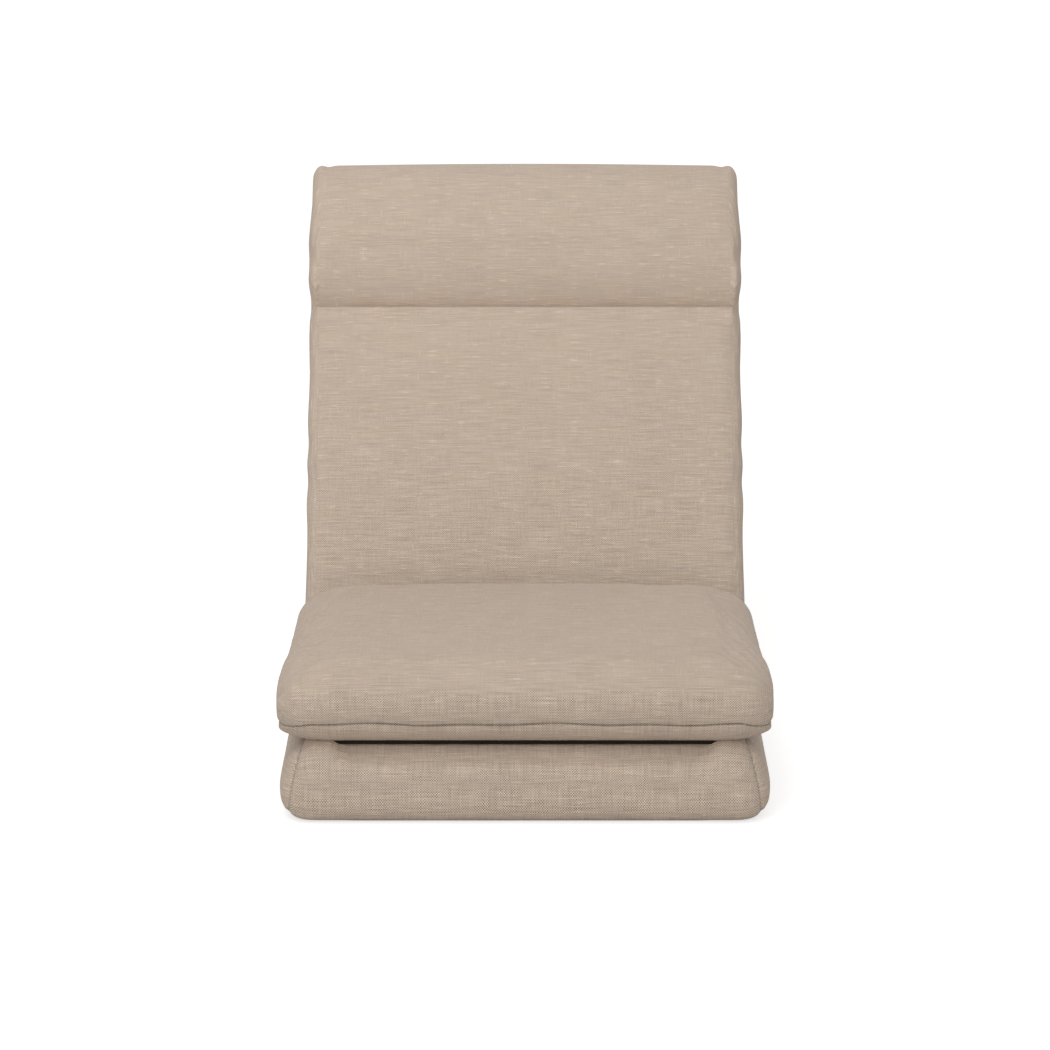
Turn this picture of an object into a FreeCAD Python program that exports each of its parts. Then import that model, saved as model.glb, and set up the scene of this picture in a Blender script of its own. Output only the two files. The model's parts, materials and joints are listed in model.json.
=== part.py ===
import FreeCAD, Part
import math
import os
import Sketcher
from FreeCAD import Rotation, Vector

# Folding floor chair: a padded base, a padded back on a pair of ratchet hinges and a seat
# cushion joined to the base along its front edge so that it can be flipped forward.
# X runs across the chair, +Y runs to the back, +Z is up, and the origin is on the floor at
# the middle of the chair's footprint. Depths are worked out from the hinge axis, and every
# piece is then moved back by HINGE_Y. All sizes are millimetres or degrees.

os.makedirs("parts", exist_ok=True)
doc = FreeCAD.newDocument("floor_chair")
sheet = doc.addObject("Spreadsheet::Sheet", "Sizes")

SIZES = [
    # pads
    ("width", 565), ("pad_half", 46), ("base_reach", 500), ("back_reach", 685),
    ("hinge_inset", 64), ("recline", 28), ("shell", 1.6), ("slack", 0.3),
    ("base_round", 40), ("base_taper", 38), ("back_round", 20), ("back_taper", 18),
    # seat cushion
    ("cushion_flare", 3), ("cushion_thick", 89), ("cushion_setback", 3),
    ("cushion_rear", 58), ("cushion_drop", 16), ("flat_share", 0.65),
    ("cushion_round", 42), ("cushion_taper", 30),
    ("cushion_crown", 3),
    # headrest and back front
    ("crease", 471), ("crease_depth", 9), ("lip", 22), ("head_swell", 17), ("head_roll", 34),
    ("back_swell", 3), ("brow_step", 6), ("brow_rise", 2), ("top_bow", 9), ("front_bow", 6),
    ("roll_bow", 9), ("lip_bow", 4), ("head_shelf", 3),
    # frame
    ("tube", 19), ("tube_wall", 1.2), ("bend", 60), ("tube_start", 62), ("side_margin", 50.5),
    ("front_margin", 60), ("top_margin", 45), ("base_cross_front", 300),
    ("base_cross_rear", 150), ("back_cross_low", 190), ("back_cross_mid", 330),
    ("back_cross_high", 500),
    # ratchet hinge
    ("cheek", 2.5), ("cheek_length", 114), ("cheek_half", 14), ("cheek_round", 26),
    ("cam", 5), ("cam_round", 22), ("cam_arm", 112), ("cam_arm_half", 9.5),
    ("notch_reach", 21), ("notch", 3.2), ("nose", 2.7), ("pitch_angle", 20.667),
    ("contact_angle", 45), ("pawl_length", 30), ("pawl_lift", 10), ("pawl_boss", 6.5),
    ("pawl_depth", 6.5), ("pawl_relief", 2.2),
    # rivets, spacers and springs
    ("pivot_pin", 5), ("pawl_pin", 3), ("small_pin", 2.5), ("pin_gap", 0.05), ("head", 2.2),
    ("rivet_first", 78), ("rivet_step", 24), ("side_gap", 0.1), ("wire", 0.5),
    ("coil_pitch", 1.35),
    # zips and cloth parts
    ("zip_margin", 67.5), ("zip_tape", 12), ("zip_back_s", 104), ("zip_cushion_z", 138),
    ("slider_long", 12), ("slider_half", 4.5), ("slider_high", 3), ("under_margin", 48),
    ("gusset", 1.2), ("strip_margin", 42.5), ("strip_inset", 34), ("sill_reach", 14),
    ("sill_high", 15), ("gusset_margin", 6), ("gusset_dip", 4), ("under_front", 68),
    # room left in the padding for the hinge and the frame
    ("plate_room", 2), ("eye_room", 1), ("swing_room", 4), ("arm_room", 2.5),
    ("tube_lead", 10),
]
for row, (name, number) in enumerate(SIZES, start=1):
    sheet.set("A%d" % row, name)
    sheet.set("B%d" % row, str(number))
    sheet.setAlias("B%d" % row, name)
doc.recompute()

NODES = []


def size(name):
    return float(sheet.get(name))


def number_of(expression):
    """The present value of an expression over the sheet, to start a sketch near its solution."""
    result = sheet.evalExpression(expression)
    return float(getattr(result, "Value", result))


HINGE_Y = ("(Sizes.base_reach - Sizes.pad_half - (Sizes.back_reach - Sizes.pad_half)"
           " * sin(Sizes.recline * 1deg)) / 2 * 1mm")


def keep(thing):
    NODES.append(thing)
    return thing


# Sketch helpers
def origin_plane(body, role):
    return next(item for item in body.Origin.OriginFeatures if item.Role == role)


def new_body(label):
    body = doc.addObject("PartDesign::Body", label)
    body.Label = label
    return body


def new_sketch(body, name, role, offset=None):
    sketch = body.newObject("Sketcher::SketchObject", name)
    sketch.AttachmentSupport = [(origin_plane(body, role), "")]
    sketch.MapMode = "FlatFace"
    if offset:
        sketch.setExpression("AttachmentOffset.Base.z", offset)
    return sketch


def dimension(sketch, kind, *place, equals):
    index = sketch.addConstraint(Sketcher.Constraint(kind, *place, number_of(equals)))
    sketch.setExpression("Constraints[%d]" % index, equals)


def pin_down(sketch, geometry, end, across, up):
    """Fix one point of a sketch by its two distances from the sketch origin."""
    dimension(sketch, "DistanceX", -1, 1, geometry, end, equals=across)
    dimension(sketch, "DistanceY", -1, 1, geometry, end, equals=up)


def add_circle(sketch, across, up, radius):
    centre = Vector(number_of(across), number_of(up), 0)
    ring = sketch.addGeometry(Part.Circle(centre, Vector(0, 0, 1), number_of(radius)))
    pin_down(sketch, ring, 3, across, up)
    dimension(sketch, "Radius", ring, equals=radius)


def add_polygon(sketch, corners):
    points = [Vector(number_of(across), number_of(up), 0) for across, up in corners]
    lines = []
    for here, there in zip(points, points[1:] + points[:1]):
        lines.append(sketch.addGeometry(Part.LineSegment(here, there)))
    for line, following in zip(lines, lines[1:] + lines[:1]):
        sketch.addConstraint(Sketcher.Constraint("Coincident", line, 2, following, 1))
    for line, (across, up) in zip(lines, corners):
        pin_down(sketch, line, 1, across, up)


def add_rectangle(sketch, left, right, low, high):
    add_polygon(sketch, [(left, low), (right, low), (right, high), (left, high)])


def pad(body, sketch, length):
    """Pad equally to both sides of the sketch plane."""
    feature = body.newObject("PartDesign::Pad", sketch.Name + "_pad")
    feature.Profile = sketch
    feature.Midplane = True
    feature.setExpression("Length", length)
    return feature


def drill(body, sketch):
    """Cut right through, to both sides of the sketch plane."""
    feature = body.newObject("PartDesign::Pocket", sketch.Name + "_hole")
    feature.Profile = sketch
    feature.Type = "ThroughAll"
    feature.Midplane = True
    return feature


def turn(body, sketch):
    feature = body.newObject("PartDesign::Revolution", sketch.Name + "_turn")
    feature.Profile = sketch
    feature.ReferenceAxis = (sketch, ["H_Axis"])
    feature.Angle = 360
    return feature


def place(thing, x="0", y="0 * 1mm", z="0", angle=None):
    """Bind a placement to the sheet: a turn about X, then a move, with y from the hinge axis."""
    for axis, text in (("x", x), ("y", y + " + " + HINGE_Y), ("z", z)):
        thing.setExpression("Placement.Base." + axis, text)
    if angle:
        thing.Placement.Rotation = Rotation(Vector(1, 0, 0), 1)
        thing.setExpression("Placement.Rotation.Angle", angle)


def mirrored(source, label):
    twin = doc.addObject("Part::Mirroring", label)
    twin.Source = source
    twin.Normal = Vector(1, 0, 0)
    twin.Label = label
    return twin


def both_sides(source, label):
    """A group of separate solids: a right-hand piece and its left-hand mirror image."""
    group = doc.addObject("Part::Compound", label)
    group.Links = [source, mirrored(source, label + "_other_side")]
    group.Label = label
    return keep(group)


HINGE_HEIGHT = "Sizes.pad_half * 1mm"
BACK_ANGLE = "(90 - Sizes.recline) * 1deg"
PAWL_ANGLE = "-(Sizes.contact_angle + Sizes.pawl_lift) * 1deg"
PAWL_Y = ("-(Sizes.notch_reach + Sizes.pawl_length) * cos(Sizes.contact_angle * 1deg) * 1mm")
PAWL_Z = ("(Sizes.pad_half + (Sizes.pawl_length - Sizes.notch_reach)"
          " * sin(Sizes.contact_angle * 1deg)) * 1mm")
BASE_SPREAD = "(Sizes.width / 2 - Sizes.side_margin)"
BACK_SPREAD = "(" + BASE_SPREAD + " - Sizes.cam / 2 - Sizes.tube / 2)"
BASE_TUBE_REACH = "(Sizes.base_reach - Sizes.front_margin)"
BACK_TUBE_REACH = "(Sizes.back_reach - Sizes.top_margin)"
CHEEK_IN = BASE_SPREAD + " - Sizes.tube / 2"
CHEEK_OUT = BASE_SPREAD + " + Sizes.tube / 2"
CAM_IN = BASE_SPREAD + " - Sizes.cam / 2"
CAM_OUT = BASE_SPREAD + " + Sizes.cam / 2"


# Tube frames
def bent_tube(label, spread, reach, direction, rivet_holes):
    """A U of tube in the local XY plane with its bend towards direction (-1 or +1) along Y."""
    body = new_body(label)
    path = new_sketch(body, label + "_path", "XY_Plane")
    side, far, near, corner = (number_of(spread), direction * number_of(reach),
                               direction * size("tube_start"), size("bend"))
    inner = far - direction * corner
    up = Vector(0, 0, 1)
    turns = ((-90, 0), (180, 270)) if direction < 0 else ((0, 90), (90, 180))
    arcs = []
    for centre_x, (start, stop) in zip((side - corner, corner - side), turns):
        circle = Part.Circle(Vector(centre_x, inner, 0), up, corner)
        arcs.append(path.addGeometry(Part.ArcOfCircle(circle, math.radians(start),
                                                      math.radians(stop))))
    right_arc, left_arc = arcs
    right = path.addGeometry(Part.LineSegment(Vector(side, near, 0), Vector(side, inner, 0)))
    across = path.addGeometry(Part.LineSegment(Vector(side - corner, far, 0),
                                               Vector(corner - side, far, 0)))
    left = path.addGeometry(Part.LineSegment(Vector(-side, inner, 0), Vector(-side, near, 0)))
    right_side_end, right_far_end, left_far_end, left_side_end = (
        (2, 1, 2, 1) if direction < 0 else (1, 2, 1, 2))
    joins = ((right, 2, right_arc, right_side_end), (right_arc, right_far_end, across, 1),
             (across, 2, left_arc, left_far_end), (left_arc, left_side_end, left, 1))
    for first, first_end, second, second_end in joins:
        path.addConstraint(Sketcher.Constraint("Tangent", first, first_end, second, second_end))
    sign = "-" if direction < 0 else ""
    pin_down(path, right, 1, spread, sign + "Sizes.tube_start")
    pin_down(path, left, 2, "-(" + spread + ")", sign + "Sizes.tube_start")
    path.addConstraint(Sketcher.Constraint("Vertical", right))
    path.addConstraint(Sketcher.Constraint("Vertical", left))
    dimension(path, "DistanceY", -1, 1, across, 1, equals=sign + "(" + reach + ")")
    dimension(path, "Radius", right_arc, equals="Sizes.bend")
    dimension(path, "Radius", left_arc, equals="Sizes.bend")
    ring = new_sketch(body, label + "_ring", "XZ_Plane",
                      ("" if direction < 0 else "-") + "Sizes.tube_start")
    add_circle(ring, spread, "0", "Sizes.tube / 2")
    add_circle(ring, spread, "0", "Sizes.tube / 2 - Sizes.tube_wall")
    doc.recompute()
    pipe = body.newObject("PartDesign::AdditivePipe", label + "_pipe")
    pipe.Profile = ring
    pipe.Spine = (path, ["Edge3", "Edge1", "Edge4", "Edge2", "Edge5"])
    doc.recompute()
    holes = new_sketch(body, label + "_rivet_holes", "YZ_Plane")
    for distance in rivet_holes:
        add_circle(holes, sign + "(" + distance + ")", "0", "Sizes.small_pin + Sizes.pin_gap")
    drill(body, holes)
    return keep(body)


def cross_tube(label, spread, distance, angle=None):
    """A straight tube between the two legs of a U, touching both."""
    body = new_body(label)
    ring = new_sketch(body, label + "_ring", "YZ_Plane")
    add_circle(ring, distance, "0", "Sizes.tube / 2")
    add_circle(ring, distance, "0", "Sizes.tube / 2 - Sizes.tube_wall")
    pad(body, ring, "2 * (" + spread + ") - Sizes.tube")
    place(body, z=HINGE_HEIGHT, angle=angle)
    return keep(body)


# Hinge plates
def cheek_plate(label, inner_face, sign):
    """One of the two plates that hold the base tube, the pivot rivet and the pawl rivet."""
    body = new_body(label)
    outline = new_sketch(body, label + "_outline", "YZ_Plane")
    add_rectangle(outline, "-Sizes.cheek_length", "0", "-Sizes.cheek_half", "Sizes.cheek_half")
    pad(body, outline, "Sizes.cheek")
    eye = new_sketch(body, label + "_eye", "YZ_Plane")
    add_circle(eye, "0", "0", "Sizes.cheek_round")
    pad(body, eye, "Sizes.cheek")
    holes = new_sketch(body, label + "_holes", "YZ_Plane")
    add_circle(holes, "0", "0", "Sizes.pivot_pin + Sizes.pin_gap")
    add_circle(holes, PAWL_Y.replace(" * 1mm", ""),
               "(Sizes.pawl_length - Sizes.notch_reach) * sin(Sizes.contact_angle * 1deg)",
               "Sizes.pawl_pin + Sizes.pin_gap")
    add_circle(holes, "-Sizes.rivet_first", "0", "Sizes.small_pin + Sizes.pin_gap")
    add_circle(holes, "-Sizes.rivet_first - Sizes.rivet_step", "0",
               "Sizes.small_pin + Sizes.pin_gap")
    drill(body, holes)
    place(body, x="(" + inner_face + sign + " Sizes.cheek / 2) * 1mm", z=HINGE_HEIGHT)
    return keep(body)


def ratchet_cam(label):
    """The toothed plate on the back frame: an eye with five notches and an arm for the tube."""
    body = new_body(label)
    eye = new_sketch(body, label + "_eye", "YZ_Plane")
    add_circle(eye, "0", "0", "Sizes.cam_round")
    pad(body, eye, "Sizes.cam")
    arm = new_sketch(body, label + "_arm", "YZ_Plane")
    add_rectangle(arm, "0", "Sizes.cam_arm", "-Sizes.cam_arm_half", "Sizes.cam_arm_half")
    pad(body, arm, "Sizes.cam")
    holes = new_sketch(body, label + "_holes", "YZ_Plane")
    add_circle(holes, "0", "0", "Sizes.pivot_pin + Sizes.pin_gap")
    add_circle(holes, "Sizes.rivet_first", "0", "Sizes.small_pin + Sizes.pin_gap")
    add_circle(holes, "Sizes.rivet_first + Sizes.rivet_step", "0",
               "Sizes.small_pin + Sizes.pin_gap")
    drill(body, holes)
    first = "(180 + Sizes.contact_angle - (90 - Sizes.recline) - Sizes.pitch_angle)"
    notch = new_sketch(body, label + "_notch", "YZ_Plane")
    add_circle(notch, "Sizes.notch_reach * cos(" + first + " * 1deg)",
               "Sizes.notch_reach * sin(" + first + " * 1deg)", "Sizes.notch")
    cut = drill(body, notch)
    doc.recompute()
    ring = body.newObject("PartDesign::PolarPattern", label + "_notches")
    ring.Originals = [cut]
    ring.Axis = (origin_plane(body, "X_Axis"), [""])
    ring.Occurrences = 5
    ring.setExpression("Angle", "4 * Sizes.pitch_angle * 1deg")
    body.Tip = ring
    place(body, x=BASE_SPREAD + " * 1mm", z=HINGE_HEIGHT, angle=BACK_ANGLE)
    return keep(body)


def pawl(label):
    """The catch that drops into a cam notch: a boss, a strut and a tooth with a round nose."""
    body = new_body(label)
    boss = new_sketch(body, label + "_boss", "YZ_Plane")
    add_circle(boss, "0", "0", "Sizes.pawl_boss")
    pad(body, boss, "Sizes.cam")
    strut = new_sketch(body, label + "_strut", "YZ_Plane")
    edge, tip = "Sizes.pawl_length - Sizes.nose", "Sizes.pawl_length + Sizes.nose"
    add_polygon(strut, [("0", "-Sizes.pawl_boss * 0.98"), (tip, "-Sizes.pawl_depth"),
                        (tip, "0"), (edge, "0"), (edge, "-Sizes.pawl_relief"),
                        ("0", "Sizes.pawl_boss * 0.98")])
    pad(body, strut, "Sizes.cam")
    nose = new_sketch(body, label + "_nose", "YZ_Plane")
    add_circle(nose, "Sizes.pawl_length", "0", "Sizes.nose")
    pad(body, nose, "Sizes.cam")
    hole = new_sketch(body, label + "_hole", "YZ_Plane")
    add_circle(hole, "0", "0", "Sizes.pawl_pin + Sizes.pin_gap")
    drill(body, hole)
    place(body, x=BASE_SPREAD + " * 1mm", y=PAWL_Y, z=PAWL_Z, angle=PAWL_ANGLE)
    return keep(body)


# Rivets, spacers and springs, all turned about X
def rivet(label, start, stop, radius, y="0 * 1mm", z=HINGE_HEIGHT, angle=None, along="0"):
    """A round-shanked rivet with a flat head at each end, along X from start to stop."""
    body = new_body(label)
    half = new_sketch(body, label + "_half", "XY_Plane")
    shank, rim = radius, "(" + radius + " + Sizes.head)"
    add_polygon(half, [(start + " - Sizes.head", "0"), (start + " - Sizes.head", rim),
                       (start, rim), (start, shank), (stop, shank), (stop, rim),
                       (stop + " + Sizes.head", rim), (stop + " + Sizes.head", "0")])
    feature = turn(body, half)
    if along != "0":
        doc.recompute()
        row = body.newObject("PartDesign::LinearPattern", label + "_row")
        row.Originals = [feature]
        row.Direction = (origin_plane(body, "Y_Axis"), [""])
        row.Occurrences = 2
        row.setExpression("Length", along)
        body.Tip = row
    place(body, y=y, z=z, angle=angle)
    return body


def spacer_pair(label, radius, outer, gaps, y="0 * 1mm", z=HINGE_HEIGHT):
    """Plain rings that fill the space between the cheeks and the plate between them."""
    body = new_body(label)
    half = new_sketch(body, label + "_half", "XY_Plane")
    for start, stop in gaps:
        add_rectangle(half, start, stop, radius + " + Sizes.pin_gap", outer)
    turn(body, half)
    place(body, y=y, z=z)
    return body


def torsion_spring(label):
    """The close-wound coil on the pawl rivet that pushes the pawl towards the cam."""
    body = new_body(label)
    section = new_sketch(body, label + "_section", "XY_Plane")
    add_circle(section, CHEEK_IN + " + Sizes.wire + Sizes.side_gap",
               "Sizes.pawl_pin + Sizes.side_gap + Sizes.wire", "Sizes.wire")
    doc.recompute()
    coil = body.newObject("PartDesign::AdditiveHelix", label + "_coil")
    coil.Profile = section
    coil.ReferenceAxis = (section, ["H_Axis"])
    coil.Mode = 0
    coil.setExpression("Pitch", "Sizes.coil_pitch * 1mm")
    coil.setExpression("Height", "((Sizes.tube - Sizes.cam) / 2 - 2 * Sizes.wire"
                                 " - 3 * Sizes.side_gap) * 1mm")
    place(body, y=PAWL_Y, z=PAWL_Z)
    return keep(body)


def zip_slider(label):
    """A plain saddle that straddles the two rows of zip teeth, with a bridge on top."""
    body = new_body(label)
    plan = new_sketch(body, label + "_plan", "XY_Plane", "Sizes.slider_high / 4")
    add_polygon(plan, [("-Sizes.slider_long / 2", "-Sizes.slider_half * 0.7"),
                       ("Sizes.slider_long / 2", "-Sizes.slider_half"),
                       ("Sizes.slider_long / 2", "Sizes.slider_half"),
                       ("-Sizes.slider_long / 2", "Sizes.slider_half * 0.7")])
    pad(body, plan, "Sizes.slider_high / 2")
    bridge = new_sketch(body, label + "_bridge", "XZ_Plane")
    add_polygon(bridge, [("-Sizes.slider_long * 0.35", "Sizes.slider_high * 0.4"),
                         ("Sizes.slider_long * 0.35", "Sizes.slider_high * 0.4"),
                         ("Sizes.slider_long * 0.25", "Sizes.slider_high"),
                         ("-Sizes.slider_long * 0.25", "Sizes.slider_high")])
    pad(body, bridge, "Sizes.slider_half * 0.6")
    return keep(body)


# Soft pads: sections across X, each a closed outline of lines and arcs in depth u and height v
def point(x, u, v):
    return Vector(x, u, v)


def bow(x, start, stop, rise):
    """An edge between two (u, v) points, bowed to its left by rise; straight if rise is 0."""
    first, last = point(x, *start), point(x, *stop)
    if abs(rise) < 1e-6:
        return Part.LineSegment(first, last).toShape()
    chord = last - first
    side = Vector(0, -chord.z, chord.y)
    side.normalize()
    return Part.Arc(first, (first + last) * 0.5 + side * rise, last).toShape()


def quarter(x, centre, start, stop, radius):
    """A quarter turn about centre from one (u, v) point to the next."""
    middle = Vector(0, start[0] + stop[0] - 2 * centre[0], start[1] + stop[1] - 2 * centre[1])
    middle.normalize()
    through = point(x, *centre) + middle * radius
    return Part.Arc(point(x, *start), through, point(x, *stop)).toShape()


def pad_section(x, front, rear, low, high, inset, crown=0.0):
    """A flat pad with round front and rear edges."""
    front, rear, low, high = front + inset, rear - inset, low + inset, high - inset
    radius, middle = (high - low) / 2, (high + low) / 2
    nose, tail = (front + radius, middle), (rear - radius, middle)
    return Part.Wire([
        bow(x, (nose[0], low), (tail[0], low), 0),
        quarter(x, tail, (tail[0], low), (rear, middle), radius),
        quarter(x, tail, (rear, middle), (tail[0], high), radius),
        bow(x, (tail[0], high), (nose[0], high), -crown),
        quarter(x, nose, (nose[0], high), (front, middle), radius),
        quarter(x, nose, (front, middle), (nose[0], low), radius),
    ])


def back_section(x, inset):
    """The back pad: flat rear, round ends, and a front with the headrest over a crease."""
    half = size("pad_half") - inset
    inner_end, top = size("hinge_inset"), size("back_reach") - inset
    crease = size("crease")
    centre_top = (size("back_reach") - size("pad_half"), 0)
    brow = (size("back_reach") - size("pad_half") + size("brow_step"), half + size("brow_rise"))
    chin = (crease + size("head_roll") + inset, half + size("head_swell"))
    fold = (crease, half - size("crease_depth"))
    lip = (crease - size("lip"), half + size("back_swell"))
    tail = (inner_end, 0)
    return Part.Wire([
        bow(x, (inner_end, -half), (centre_top[0], -half), 0),
        quarter(x, centre_top, (centre_top[0], -half), (top, 0), half),
        bow(x, (top, 0), brow, -size("top_bow")),
        bow(x, brow, chin, -size("front_bow")),
        bow(x, chin, fold, -size("roll_bow")),
        bow(x, fold, lip, -size("lip_bow")),
        bow(x, lip, (inner_end, half), -size("back_swell")),
        quarter(x, tail, (inner_end, half), (inner_end - half, 0), half),
        quarter(x, tail, (inner_end - half, 0), (inner_end, -half), half),
    ])


def side_steps(half_width, rounding, taper):
    """Stations (x, extra inset) over the rounded side of a pad, from the side inwards.
    The rounding is how far it reaches across, and the taper how much the pad thins on each face."""
    steps = []
    for angle in (90, 70, 52, 34, 17, 0):
        across = half_width - rounding * (1 - math.sin(math.radians(angle)))
        steps.append((across, taper * (1 - math.cos(math.radians(angle)))))
    return steps


def across_width(half_width, rounding, taper, middle=()):
    """All stations from the left side to the right side."""
    right = side_steps(half_width, rounding, taper) + [(x, 0) for x in middle]
    left = [(-x, inset) for x, inset in right]
    return left + ([(0, 0)] if middle else []) + right[::-1]


def loft(sections):
    return Part.makeLoft(sections, True, True)


def base_solid(inset):
    stations = across_width(size("width") / 2 - inset, size("base_round"), size("base_taper"))
    return loft([pad_section(x, -size("base_reach"), -(size("hinge_inset") - size("pad_half")),
                             0, 2 * size("pad_half"), inset + extra) for x, extra in stations])


def back_solid(inset):
    stations = across_width(size("width") / 2 - inset, size("back_round"), size("back_taper"))
    return loft([back_section(x, inset + extra) for x, extra in stations])


def cushion_solid(inset):
    half_width = size("width") / 2 + size("cushion_flare") - inset
    flat = size("flat_share") * size("width") / 2
    slope = half_width - size("cushion_round") - flat
    shoulders = [flat + slope * part for part in (0.75, 0.5, 0.25, 0.0)]
    low = 2 * size("pad_half") + size("slack")
    sections = []
    for x, extra in across_width(half_width, size("cushion_round"), size("cushion_taper"),
                                 shoulders):
        fall = max(0.0, (abs(x) - flat) / (half_width - flat))
        high = low + size("cushion_thick") - size("cushion_drop") * fall ** 2
        sections.append(pad_section(x, -size("base_reach") + size("cushion_setback"),
                                    -size("cushion_rear"), low, high, inset + extra,
                                    crown=size("cushion_crown") * (1 - fall)))
    return loft(sections)


def box(x_low, x_high, y_low, y_high, z_low, z_high):
    return Part.makeBox(x_high - x_low, y_high - y_low, z_high - z_low,
                        Vector(x_low, y_low, z_low))


def two_boxes(x_low, x_high, y_low, y_high, z_low, z_high):
    """The same box on both sides of the chair."""
    return [box(x_low, x_high, y_low, y_high, z_low, z_high),
            box(-x_high, -x_low, y_low, y_high, z_low, z_high)]


def from_hinge():
    return FreeCAD.Placement(Vector(0, number_of(HINGE_Y), 0), Rotation())


def on_the_back():
    """Where the back's own frame lies: Y up along the back and Z out of its front."""
    lean = FreeCAD.Placement(Vector(0, 0, size("pad_half")),
                             Rotation(Vector(1, 0, 0), 90 - size("recline")))
    return from_hinge().multiply(lean)


def cloth_piece(label, shape, on_back=False):
    """A piece whose shape is worked out from the sheet; its placement is set after the shape."""
    thing = doc.addObject("Part::Feature", label)
    thing.Label = label
    thing.Shape = shape
    thing.Placement = on_the_back() if on_back else from_hinge()
    return keep(thing)


def tube_space(spread, reach, direction, height, crosses):
    """The room a U of tube and its cross tubes take up, with slack all round."""
    radius = size("tube") / 2 + size("slack")
    corner, near = size("bend"), direction * (size("tube_start") - size("tube_lead"))
    far = direction * reach
    inner = far - direction * corner
    diagonal = corner * (1 - math.sqrt(0.5))
    at = [Vector(spread, near, height), Vector(spread, inner, height),
          Vector(spread - diagonal, far - direction * diagonal, height),
          Vector(spread - corner, far, height), Vector(corner - spread, far, height),
          Vector(diagonal - spread, far - direction * diagonal, height),
          Vector(-spread, inner, height), Vector(-spread, near, height)]
    path = Part.Wire([Part.LineSegment(at[0], at[1]).toShape(),
                      Part.Arc(at[1], at[2], at[3]).toShape(),
                      Part.LineSegment(at[3], at[4]).toShape(),
                      Part.Arc(at[4], at[5], at[6]).toShape(),
                      Part.LineSegment(at[6], at[7]).toShape()])
    ring = Part.Wire(Part.makeCircle(radius, at[0], Vector(0, 1, 0)))
    pieces = [path.makePipeShell([ring], True, False)]
    for distance in crosses:
        pieces.append(Part.makeCylinder(radius, 2 * spread, Vector(-spread, distance, height),
                                        Vector(1, 0, 0)))
    return pieces


def cut_all(shape, tools):
    for tool in tools:
        shape = shape.cut(tool)
    return shape


# The hinge takes up this much of each pad, measured across X
hinge_in = number_of(CHEEK_IN) - size("cheek") - size("head") - size("plate_room")
hinge_out = number_of(CHEEK_OUT) + size("cheek") + size("head") + size("plate_room")
eye_half = size("cheek_round") + size("eye_room")
half_width = size("width") / 2
pad_half = size("pad_half")
shell = size("shell")
slack = size("slack")
skin = shell + slack
zip_half = half_width - size("zip_margin")
wide = size("width")
deep = size("back_reach") + size("base_reach")


def base_cushioning():
    """The base cover, the cloth under it and the two foam slabs round the frame."""
    outer, inner = base_solid(0), base_solid(shell)
    slot = two_boxes(hinge_in, hinge_out, -pad_half, 0, pad_half - eye_half,
                     pad_half + eye_half)
    margin = size("under_margin")
    front, rear = -size("base_reach") + size("under_front"), -size("hinge_inset")
    opening = box(-half_width + margin, half_width - margin, front, rear, -1, shell + 0.5)
    cloth = box(-half_width + margin + slack, half_width - margin - slack,
                front + slack, rear - slack, 0, shell)
    cover = cut_all(outer.cut(inner), slot + [opening])
    cloth_piece("base_cover", cover)
    cloth_piece("base_underside_cloth", cloth)
    foam = base_solid(skin)
    room = tube_space(number_of(BASE_SPREAD), number_of(BASE_TUBE_REACH), -1, pad_half,
                      [-size("base_cross_front"), -size("base_cross_rear")])
    room += two_boxes(hinge_in, hinge_out, -size("cheek_length") - slack, 0,
                      pad_half - size("cheek_half") - slack,
                      pad_half + size("cheek_half") + slack)
    room += slot
    lower = foam.common(box(-wide, wide, -deep, deep, -1, pad_half))
    upper = foam.common(box(-wide, wide, -deep, deep, pad_half, 3 * pad_half))
    cloth_piece("base_foam_lower", cut_all(lower, room))
    cloth_piece("base_foam_upper", cut_all(upper, room))


def back_cushioning():
    """The back cover with its headrest form, the zip in its rear face and three foam blocks."""
    outer, inner = back_solid(0), back_solid(shell)
    eye = two_boxes(hinge_in, hinge_out, 0, size("cheek_round") + size("swing_room"),
                    -eye_half, eye_half)
    arm_half = size("cam_arm_half") + size("arm_room")
    slots = eye + two_boxes(number_of(CAM_IN) - size("eye_room"),
                            number_of(CAM_OUT) + size("eye_room"), 0, size("hinge_inset"),
                            -arm_half, arm_half)
    zip_low, zip_high = (size("zip_back_s") - size("zip_tape"),
                         size("zip_back_s") + size("zip_tape"))
    wall = outer.cut(inner)
    window = box(-zip_half, zip_half, zip_low, zip_high, -2 * pad_half, 0)
    tape = wall.common(box(-zip_half + slack, zip_half - slack, zip_low + slack,
                           zip_high - slack, -2 * pad_half, 0))
    cloth_piece("backrest_cover", cut_all(wall, slots + [window]), on_back=True)
    cloth_piece("back_zip_tape", tape, on_back=True)
    foam = back_solid(skin)
    spread = number_of(BACK_SPREAD)
    room = tube_space(spread, number_of(BACK_TUBE_REACH), 1, 0,
                      [size("back_cross_low"), size("back_cross_mid"), size("back_cross_high")])
    room += eye
    room += two_boxes(number_of(CAM_IN) - size("tube") - size("head") - size("eye_room"),
                      number_of(CAM_OUT) + size("head") + size("eye_room"), 0,
                      size("cam_arm") + slack,
                      -size("cam_arm_half") - slack, size("cam_arm_half") + slack)
    crease = size("crease")
    shelf = pad_half - size("crease_depth") - skin - size("head_shelf")
    head_zone = box(-wide, wide, crease + 1, 2 * deep, shelf, 4 * pad_half)
    head_room = box(-wide, wide, crease + 1 - slack, 2 * deep, shelf - slack, 4 * pad_half)
    rear = foam.common(box(-wide, wide, 0, 2 * deep, -2 * pad_half, 0))
    front = foam.common(box(-wide, wide, 0, 2 * deep, 0, 4 * pad_half)).cut(head_room)
    cloth_piece("back_foam_rear", cut_all(rear, room), on_back=True)
    cloth_piece("back_foam_front", cut_all(front, room), on_back=True)
    cloth_piece("headrest_foam", foam.common(head_zone), on_back=True)


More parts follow.
